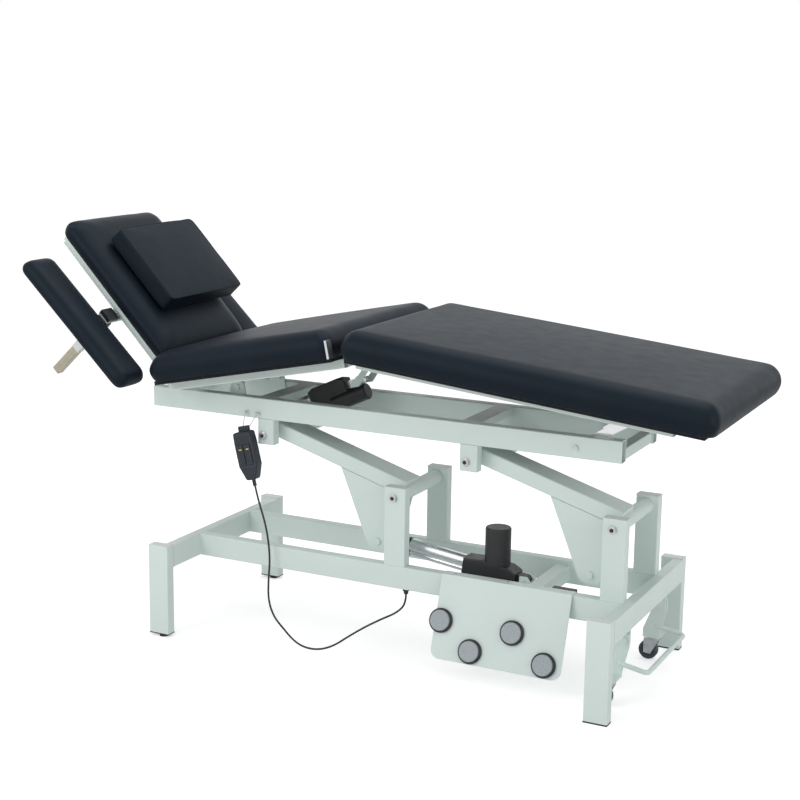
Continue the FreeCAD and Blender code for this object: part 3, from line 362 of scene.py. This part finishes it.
nickel = finish("satin_nickel", (0.50, 0.47, 0.36), 0.34, 1.0)
tint(nickel, noise(nickel, 70.0), (0.46, 0.43, 0.33), (0.54, 0.51, 0.40))
vary(nickel, noise(nickel, 120.0, 2.0, (1.0, 10.0, 1.0)), "Roughness", 0.28, 0.42)

slate = finish("handset_slate", (0.014, 0.020, 0.029), 0.42)
vary(slate, noise(slate, 140.0), "Roughness", 0.36, 0.50)
bump(slate, noise(slate, 1300.0), 0.0002, 0.3)
# Lighter grey for the outlines of the keys, and for the painted highlight along the bevel of the handset's
# face.
outline_and_face_highlight_grey = finish("handset_outline", (0.075, 0.085, 0.115), 0.45)
vary(outline_and_face_highlight_grey, noise(outline_and_face_highlight_grey, 200.0), "Roughness", 0.40, 0.52)

jacket = finish("cord_jacket", (0.016, 0.016, 0.017), 0.5)
bump(jacket, noise(jacket, 900.0), 0.0001, 0.3)

tread = finish("grey_tread", (0.38, 0.42, 0.45), 0.6)
tint(tread, noise(tread, 300.0), (0.33, 0.37, 0.40), (0.44, 0.48, 0.51))
bump(tread, cells(tread, 340.0), 0.0012, 0.6)

cap_white = finish("cap_white", (0.74, 0.78, 0.76), 0.5)
bump(cap_white, noise(cap_white, 800.0), 0.0002, 0.25)
mark_yellow = finish("key_yellow", (0.80, 0.62, 0.06), 0.5)
vary(mark_yellow, noise(mark_yellow, 300.0), "Roughness", 0.42, 0.58)
print("finishes", len(bpy.data.materials))

# %% [markdown]
# Every CAD node keeps its shape and takes a finish by the piece it is. A table from finish to nodes
# is easier to check against the photograph than one line for each node.

# %% Finishes on the CAD nodes
WEARS = {
    coat: ("base_legs", "base_crossbars", "base_rails", "base_posts", "drive_anchor", "foot_panel",
           "lift_arm_head", "lift_arm_foot", "lift_lever_head", "lift_lever_foot", "top_rails",
           "top_crossbars", "arm_brackets", "top_lugs", "seat_frame", "leg_frame", "back_frame",
           "castor_lever"),
    cap_white: ("base_caps",),
    board: ("seat_board", "leg_board", "back_board"),
    chrome: ("leg_link",),
    nickel: ("arm_posts",),
    slate: ("handset_body", "handset_key_1", "handset_key_2"),
    zinc: ("base_bolts", "top_bolts", "handset_hooks", "back_hinges", "castor_fork_near",
           "castor_fork_far"),
    drawn: ("lift_tube", "lift_rod", "flex_tube", "flex_rod"),
    moulded: ("lift_gearbox", "lift_motor", "flex_motor", "foot_button_bezels", "control_box", "cord_gland",
              "arm_clamp_near", "arm_clamp_far", "leg_feet"),
    rubber: ("castor_wheel_near", "castor_wheel_far"),
    tread: ("foot_button_1", "foot_button_2", "foot_button_3", "foot_button_4"),
}
dressed = 0
for mat, names in WEARS.items():
    for name in names:
        mesh = NODE[name].data
        mesh.materials.clear()
        mesh.materials.append(mat)
        dressed += 1
cord_curve.materials.append(jacket)
print("dressed", dressed, "CAD nodes of", len(NODE))


def repaint(name, mat, chosen):
    """Give a second finish to the faces of a node whose centre and normal pass a test."""
    mesh = NODE[name].data
    mesh.materials.append(mat)
    slots = np.zeros(len(mesh.polygons), np.int32)
    for face in mesh.polygons:
        if chosen(face.center, face.normal):
            slots[face.index] = len(mesh.materials) - 1
    mesh.polygons.foreach_set("material_index", slots)
    return int((slots > 0).sum())


FLEX_PIN = (-0.319 + CENTRE_X, 0.592)
FLEX_RISE = math.radians(25.097)
FLEX_HOUSING = 0.2065
FLEX_BAR_LOW = -0.0145
BACK_NORMAL = (math.sin(BACK_TILT), math.cos(BACK_TILT))


def on_flex_nose(center, normal):
    """Faces of the flex drive past its housing, where the bare bar starts."""
    x, z = center.x - FLEX_PIN[0], center.z - FLEX_PIN[1]
    along = x * math.cos(FLEX_RISE) + z * math.sin(FLEX_RISE)
    off = z * math.cos(FLEX_RISE) - x * math.sin(FLEX_RISE)
    return along > FLEX_HOUSING and off > FLEX_BAR_LOW


def on_rim(center, normal):
    """Faces of the back board that don't lie in its plane."""
    return abs(normal.x * BACK_NORMAL[0] + normal.z * BACK_NORMAL[1]) < 0.5


print("second finish on", repaint("flex_motor", drawn, on_flex_nose), repaint("back_board", coat, on_rim),
      "faces of drive and board")

# %% [markdown]
# A cushion is foam on a board under stretched vinyl: flat below, widest low down, with a long soft
# roll up to a crowned top. Its surface is worked out from a box grid, so it is all even quads with no
# poles, and a short cloth simulation with air pressure then swells it a little, as the cover would.


# %% Surface of a cushion
def box_grid(nx, ny, nz):
    """Points and quads of a closed box grid from -1 to 1; six faces share their edge points."""
    faces = []
    for axis, sign in ((0, -1), (0, 1), (1, -1), (1, 1), (2, -1), (2, 1)):
        a, b = [(1, 2), (2, 0), (0, 1)][axis]
        count = (nx, ny, nz)
        i, j = np.meshgrid(np.arange(count[a] + 1), np.arange(count[b] + 1), indexing="ij")
        grid = np.zeros(i.shape + (3,), int)
        grid[..., a] = i
        grid[..., b] = j
        grid[..., axis] = 0 if sign < 0 else count[axis]
        quad = np.stack([grid[:-1, :-1], grid[1:, :-1], grid[1:, 1:], grid[:-1, 1:]], axis=2)
        quad = quad.reshape(-1, 4, 3)
        faces.append(quad if sign > 0 else quad[:, ::-1])
    corners = np.concatenate(faces).reshape(-1, 3)
    points, where = np.unique(corners, axis=0, return_inverse=True)
    return 2.0 * points / np.array((nx, ny, nz)) - 1.0, where.reshape(-1, 4)


def cushion_shape(grid, half_x, half_y, thick, corner, roll, head_roll, crown, draw):
    """Bend a box grid into a cushion.

    Sides: z runs from 0 to h = 0.4 thick and the plan shrinks by draw (1 - z / h)^2.
    Top: a point d inside the edge has a = 1 - d / (1.57 roll), from 0 at the inner line to 1 at the edge.
    It lies roll (1 - sin(a pi / 2)) inside the edge, at z = h + (thick - h) cos(ax pi / 2) cos(ay pi / 2),
    and the crown adds crown (1 - x^2)(1 - y^2) times the same cosines.
    Plan: the corner squares of the outline become quarter discs of radius corner.
    """
    widest = 0.4 * thick
    top = grid[:, 2] > 0.999
    plan = np.empty((len(grid), 2))
    fall = np.ones(len(grid))
    for axis, half in ((0, half_x), (1, half_y)):
        g = grid[:, axis]
        width = np.where(g < 0.0, head_roll, roll) if axis == 0 else np.full(len(g), roll)
        arc = 0.5 * math.pi * width
        line = np.abs(g) * half
        a = np.clip(1.0 - (half - line) / arc, 0.0, 1.0)
        rolled = half - width + width * np.sin(0.5 * math.pi * a)
        plan[:, axis] = np.sign(g) * np.where(a > 0.0, rolled, line * (half - width) / (half - arc))
        fall *= np.cos(0.5 * math.pi * a)
    inner = np.array((half_x - corner, half_y - corner))
    core = np.clip(plan, -inner, inner)
    edge = plan - core
    reach = np.abs(edge).max(axis=1, keepdims=True)
    plan = core + edge / (np.linalg.norm(edge, axis=1, keepdims=True) + 1e-12) * reach
    dome = (1.0 - (plan[:, 0] / half_x) ** 2) * (1.0 - (plan[:, 1] / half_y) ** 2)
    side_z = 0.5 * (grid[:, 2] + 1.0) * widest
    z = np.where(top, widest + (thick - widest) * fall + crown * dome * fall, side_z)
    inset = np.where(top, 0.0, draw * (1.0 - side_z / widest) ** 2)
    plan = plan * (1.0 - inset[:, None] / np.array((half_x, half_y)))
    return np.c_[plan, z]


def mesh_object(name, points, faces, mat, smooth=True):
    """A mesh object with one finish from points and faces, shaded smooth or flat."""
    mesh = bpy.data.meshes.new(name)
    mesh.from_pydata(points.tolist(), [], [list(f) for f in faces])
    mesh.polygons.foreach_set("use_smooth", np.full(len(faces), smooth))
    mesh.materials.append(mat)
    obj = bpy.data.objects.new(name, mesh)
    bpy.context.scene.collection.objects.link(obj)
    return obj


def read_points(mesh):
    """The points of a mesh as one array."""
    out = np.empty(len(mesh.vertices) * 3)
    mesh.vertices.foreach_get("co", out)
    return out.reshape(-1, 3)


def shown_points(obj):
    """The points of an object's mesh with its modifiers."""
    shown = obj.evaluated_get(bpy.context.evaluated_depsgraph_get())
    points = read_points(shown.to_mesh())
    shown.to_mesh_clear()
    return points


CLOTH_FRAMES = 20


def swell(obj, pinned, pressure, most):
    """Blow up a cushion with Blender's Cloth and scale the movement so no point goes further than most."""
    before = read_points(obj.data)
    group = obj.vertex_groups.new(name="board")
    group.add(np.flatnonzero(pinned).tolist(), 1.0, "REPLACE")
    cloth = obj.modifiers.new("cover", "CLOTH")
    cloth.settings.use_pressure = True
    cloth.settings.uniform_pressure_force = pressure
    cloth.settings.effector_weights.gravity = 0.0
    cloth.settings.vertex_group_mass = "board"
    cloth.settings.quality = 5
    cloth.point_cache.frame_end = CLOTH_FRAMES
    scene = bpy.context.scene
    for step in range(1, CLOTH_FRAMES + 1):
        scene.frame_set(step)
    after = shown_points(obj)
    obj.modifiers.remove(cloth)
    obj.vertex_groups.clear()
    scene.frame_set(1)
    move = after - before
    furthest = float(np.linalg.norm(move, axis=1).max())
    share = min(1.0, most / max(furthest, 1e-9))
    obj.data.vertices.foreach_set("co", (before + share * move).ravel())
    obj.data.update()
    return share * furthest


# %% [markdown]
# Five cushions share that surface: leg, seat, back and two arm pads. The base points are pinned to the
# board, the sides and top are free, and the swell is kept to a few millimetres so that each cushion
# stays near its solid.

# %% Cushions
GRID_STEP = 0.012
SWELL = 0.003
PRESSURE = 4.0
SEAM_ROOM = 0.001
CUSHIONS = (
    # name, node, body, section, x0, x1, y0, y1, base, thick, corner, roll, head roll, crown, draw
    ("leg_pad", "leg_cushion", "leg_section", on_leg, 0.0012, 0.955, -0.310, 0.312, 0.030, 0.075,
     0.030, 0.040, 0.036, 0.006, 0.009),
    ("seat_pad", "seat_cushion", "seat", on_seat, -0.140, 0.4173, -0.310, 0.312, 0.059, 0.074,
     0.030, 0.040, 0.058, 0.006, 0.009),
    ("back_pad", "back_cushion", "back", on_back, -0.528, -0.052, -0.215, 0.187, 0.024, 0.057,
     0.032, 0.065, 0.050, 0.010, 0.006),
    ("arm_pad_a", "arm_pad_near", "armrest_near", on_arm, -0.476, -0.042, -0.366, -0.253, -0.041, 0.042,
     0.022, 0.024, 0.024, 0.002, 0.005),
    ("arm_pad_b", "arm_pad_far", "armrest_far", on_arm, -0.476, -0.042, 0.253, 0.366, -0.041, 0.042,
     0.022, 0.024, 0.024, 0.002, 0.005),
)
for name, node, body, section, x0, x1, y0, y1, base, *form in CUSHIONS:
    half_x, half_y = 0.5 * (x1 - x0), 0.5 * (y1 - y0)
    counts = [max(int(round(2 * h / GRID_STEP)), 8) for h in (half_x, half_y)] + [4]
    grid, faces = box_grid(*counts)
    shape = cushion_shape(grid, half_x - SEAM_ROOM, half_y - SEAM_ROOM, *form)
    shape += np.array((0.5 * (x0 + x1), 0.5 * (y0 + y1), base))
    pad = mesh_object(name, section(shape), faces, vinyl)
    moved = 0.0
    moved = swell(pad, grid[:, 2] < -0.6, PRESSURE, SWELL)
    smooth = pad.modifiers.new("fullness", "SUBSURF")
    smooth.levels = smooth.render_levels = 1
    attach(pad, body)
    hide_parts(node)
    print(name, len(faces), "quads, swelled by", round(1000 * moved, 1), "mm")

# %% [markdown]
# The pillow is boxier: a top and a base panel sewn to a straight band, so its edges stay crisp and a
# thin welt runs round both. The same kind of grid gives that shape, and the welts follow the
# grid's own edge points after the swelling and smoothing, so they can't drift off the seam.

# %% Pillow with its welts
# Along, across and above the back rest
px0, px1, py0, py1, pbase, pthick = -0.424, -0.174, -0.158, 0.188, 0.0965, 0.050
PILLOW_CORNER = 0.014
PILLOW_CROWN = 0.004
PILLOW_PULL = 0.004
WELT_RADIUS = 0.0016
p_half_x, p_half_y = 0.5 * (px1 - px0), 0.5 * (py1 - py0)
p_grid, p_faces = box_grid(26, 32, 6)


def boxy(grid, half_x, half_y, thick, corner, crown, pull):
    """A box cushion.

    Plan: the corner squares become quarter discs of radius corner, and the sides draw in by pull midway.
    Height: half the thickness, plus crown (1 - x^2)(1 - y^2) on top and base, and 6% less at the corners.
    """
    plan = grid[:, :2] * np.array((half_x, half_y))
    inner = np.array((half_x - corner, half_y - corner))
    core = np.clip(plan, -inner, inner)
    edge = plan - core
    reach = np.abs(edge).max(axis=1, keepdims=True)
    plan = core + edge / (np.linalg.norm(edge, axis=1, keepdims=True) + 1e-12) * reach
    on_side = np.abs(grid[:, :2]).max(axis=1) > 0.99
    inset = pull * (1.0 - grid[:, :2] ** 2).min(axis=1) * on_side
    plan = plan * (1.0 - inset / np.linalg.norm(plan, axis=1).clip(0.02))[:, None]
    dome = (1.0 - grid[:, 0] ** 2) * (1.0 - grid[:, 1] ** 2) * (np.abs(grid[:, 2]) > 0.99)
    z = grid[:, 2] * 0.5 * thick
    z = z + np.sign(z) * crown * dome
    z = z * (1.0 - 0.06 * (grid[:, 0] ** 2 * grid[:, 1] ** 2))
    return np.c_[plan, z]


p_shape = boxy(p_grid, p_half_x, p_half_y, pthick - 0.004, PILLOW_CORNER, PILLOW_CROWN, PILLOW_PULL)
p_shape += np.array((0.5 * (px0 + px1), 0.5 * (py0 + py1), pbase + 0.5 * pthick))
pillow = mesh_object("head_pillow", on_back(p_shape), p_faces, vinyl)
swell(pillow, p_grid[:, 2] < -0.99, PRESSURE, SWELL)
smooth = pillow.modifiers.new("fullness", "SUBSURF")
smooth.levels = smooth.render_levels = 2
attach(pillow, "back")
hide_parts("pillow")


def tube_along(path, radius, sides=8):
    """A closed tube round a closed path: circles of a radius set square to the path at each point."""
    ahead = np.roll(path, -1, axis=0) - np.roll(path, 1, axis=0)
    ahead /= np.linalg.norm(ahead, axis=1, keepdims=True)
    inner = path.mean(axis=0) - path
    across = inner - (inner * ahead).sum(axis=1, keepdims=True) * ahead
    across /= np.linalg.norm(across, axis=1, keepdims=True)
    upright = np.cross(ahead, across)
    angle = np.linspace(0.0, 2.0 * math.pi, sides, endpoint=False)
    turn_x, turn_y = np.cos(angle)[None, :, None], np.sin(angle)[None, :, None]
    ring = turn_x * across[:, None] + turn_y * upright[:, None]
    points = path[:, None] + radius * ring
    n = len(path)
    i, j = np.meshgrid(np.arange(n), np.arange(sides), indexing="ij")
    i2, j2 = (i + 1) % n, (j + 1) % sides
    faces = np.stack([i * sides + j, i * sides + j2, i2 * sides + j2, i2 * sides + j], axis=-1)
    return points.reshape(-1, 3), faces.reshape(-1, 4)


pillow_points = shown_points(pillow)[:len(p_grid)]
for label, level in (("top", 1.0), ("base", -1.0)):
    edge = np.flatnonzero((p_grid[:, 2] == level) & (np.abs(p_grid[:, :2]).max(axis=1) > 0.999))
    turn = np.arctan2(p_grid[edge, 1], p_grid[edge, 0])
    loop = pillow_points[edge[np.argsort(turn)]]
    welt_points, welt_faces = tube_along(loop, WELT_RADIUS)
    welt = mesh_object("pillow_welt_" + label, welt_points, welt_faces, piping)
    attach(welt, "back")
print("pillow", len(p_faces), "quads and two welts")

# %% [markdown]
# Small fittings finish the picture: black discs of painted shade in the sockets of the bolt heads, a grip and
# a sleeve on each arm post, the metal edge between seat and leg pads, the outlines and marks on the handset's
# keys, and a painted highlight round the bevel of the handset's face. Each is a few boxes, discs or thin tubes
# in the frame of the section that carries it.


# %% Small fittings
def boxes(spans, section):
    """Points and quads of boxes, each given by x0, x1, y0, y1, z0, z1 in a section's own frame."""
    points, faces = [], []
    for x0, x1, y0, y1, z0, z1 in spans:
        grid, quads = box_grid(1, 1, 1)
        half = 0.5 * np.array((x1 - x0, y1 - y0, z1 - z0))
        faces.append(quads + 8 * len(points))
        points.append(grid * half + 0.5 * np.array((x0 + x1, y0 + y1, z0 + z1)))
    return section(np.concatenate(points)), np.concatenate(faces)


def discs(places, radius, thick, sides=24):
    """Points and faces of flat discs square to Y, each at a place and proud by thick away from y = 0."""
    points, faces = [], []
    angle = np.linspace(0.0, 2.0 * math.pi, sides, endpoint=False)
    for x, y, z in places:
        first = sum(len(p) for p in points)
        round_x, round_z = x + radius * np.cos(angle), z + radius * np.sin(angle)
        for lift in (0.0, math.copysign(thick, y)):
            points.append(np.c_[round_x, np.full(sides, y + lift), round_z])
        ring = np.arange(sides)
        ahead = (ring + 1) % sides
        wall = np.stack([ring, ahead, ahead + sides, ring + sides], axis=1) + first
        cap = (np.arange(sides) + sides + first)[None]
        if y < 0:
            wall, cap = wall[:, ::-1], cap[:, ::-1]
        faces += wall[:, ::-1].tolist() + cap[:, ::-1].tolist()
    return np.concatenate(points), faces


def fitting(name, points, faces, mat, body, slot_name, smooth=False):
    """A small hard piece that rides on a body."""
    obj = mesh_object(name, points, faces, mat, smooth)
    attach(obj, body)


def sides_of(places):
    """Places on the near side and their mirror images on the far side."""
    return [(x + CENTRE_X, y * turn, z) for x, y, z in places for turn in (1.0, -1.0)]


def pair(x0, x1, middle, half, z0, z1):
    """Spans of a box on the near side and its twin on the far side, each with its middle so far from y = 0."""
    return [(x0, x1, sign * middle - half, sign * middle + half, z0, z1) for sign in (-1.0, 1.0)]


LOW_BOLTS = ((0.073, -0.149, 0.4295), (0.659, -0.149, 0.4295))
TOP_BOLTS = ((-0.317, -0.142, 0.5467), (0.269, -0.142, 0.5467))
SOCKET_RADIUS = 0.0052
SOCKET_PROUD = 0.0004
# The black discs on the zinc bolt heads are painted shade, standing for the hollow of each hex socket.
for name, body, bolts in (("low_socket_shade", "base", LOW_BOLTS), ("top_socket_shade", "top_frame", TOP_BOLTS)):
    fitting(name, *discs(sides_of(bolts), SOCKET_RADIUS, SOCKET_PROUD), moulded, body, "steel")
SLEEVES = pair(-0.2613, -0.2367, 0.236, 0.0123, -0.143, -0.100)
GRIPS = pair(-0.2675, -0.2305, 0.2275, 0.021, -0.006, 0.004)
KNEE_EDGES = pair(0.4085, 0.4145, 0.298, 0.0115, 0.060, 0.106)
fitting("post_sleeves", *boxes(SLEEVES, on_back), cap_white, "back", "plastic_black")
fitting("post_grips", *boxes(GRIPS, on_back), moulded, "back", "plastic_black")
fitting("knee_edges", *boxes(KNEE_EDGES, on_seat), drawn, "seat", "steel")

HAND_PIVOT = (-0.366 + CENTRE_X, 0.556)
HAND_LEAN = math.radians(-14.0)
HAND_Y = -0.156
KEY_HALF = 0.0072
MARK_HALF = 0.0042
OUTLINE_RADIUS = 0.0005
FACE_HIGHLIGHT_RADIUS = 0.0006


def on_handset(points):
    """Points of the handset, drawn upright about its top centre, leaned and hung at the near rail."""
    return carry(np.asarray(points) + np.array((0.0, HAND_Y, 0.0)), HAND_PIVOT, HAND_LEAN)


def rounded_path(x0, x1, z0, z1, y, radius, steps=5):
    """A closed rounded rectangle in the handset's face: quarter circles at the four corners."""
    turn = np.linspace(0.0, 0.5 * math.pi, steps)
    path = []
    for cx, cz, start in ((x1 - radius, z1 - radius, 0.0), (x0 + radius, z1 - radius, 0.5),
                          (x0 + radius, z0 + radius, 1.0), (x1 - radius, z0 + radius, 1.5)):
        angle = turn + start * math.pi
        path.append(np.c_[cx + radius * np.cos(angle), np.full(steps, y), cz + radius * np.sin(angle)])
    return np.concatenate(path)


for number, key_x in ((1, -0.011), (2, 0.011)):
    key_body = "handset_key_%d" % number
    path = on_handset(rounded_path(key_x - KEY_HALF, key_x + KEY_HALF, -0.0852, -0.0348, -0.0166, 0.002))
    fitting(key_body + "_outline", *tube_along(path, OUTLINE_RADIUS), outline_and_face_highlight_grey, key_body,
            "key_yellow", True)
    mark = [(key_x - MARK_HALF, key_x + MARK_HALF, -0.0171, -0.0164, -0.0475, -0.0445)]
    fitting(key_body + "_mark", *boxes(mark, on_handset), mark_yellow, key_body, "key_yellow")
# The lighter tube round the handset's face is a painted highlight on the bevel of its front edge.
face_highlight_path = on_handset(rounded_path(-0.0245, 0.0245, -0.094, -0.008, -0.0141, 0.004))
fitting("handset_face_highlight", *tube_along(face_highlight_path, FACE_HIGHLIGHT_RADIUS), outline_and_face_highlight_grey, "top_frame",
        "plastic_black", True)
print("fittings: bolt sockets, grips, sleeves, knee edges and key marks")
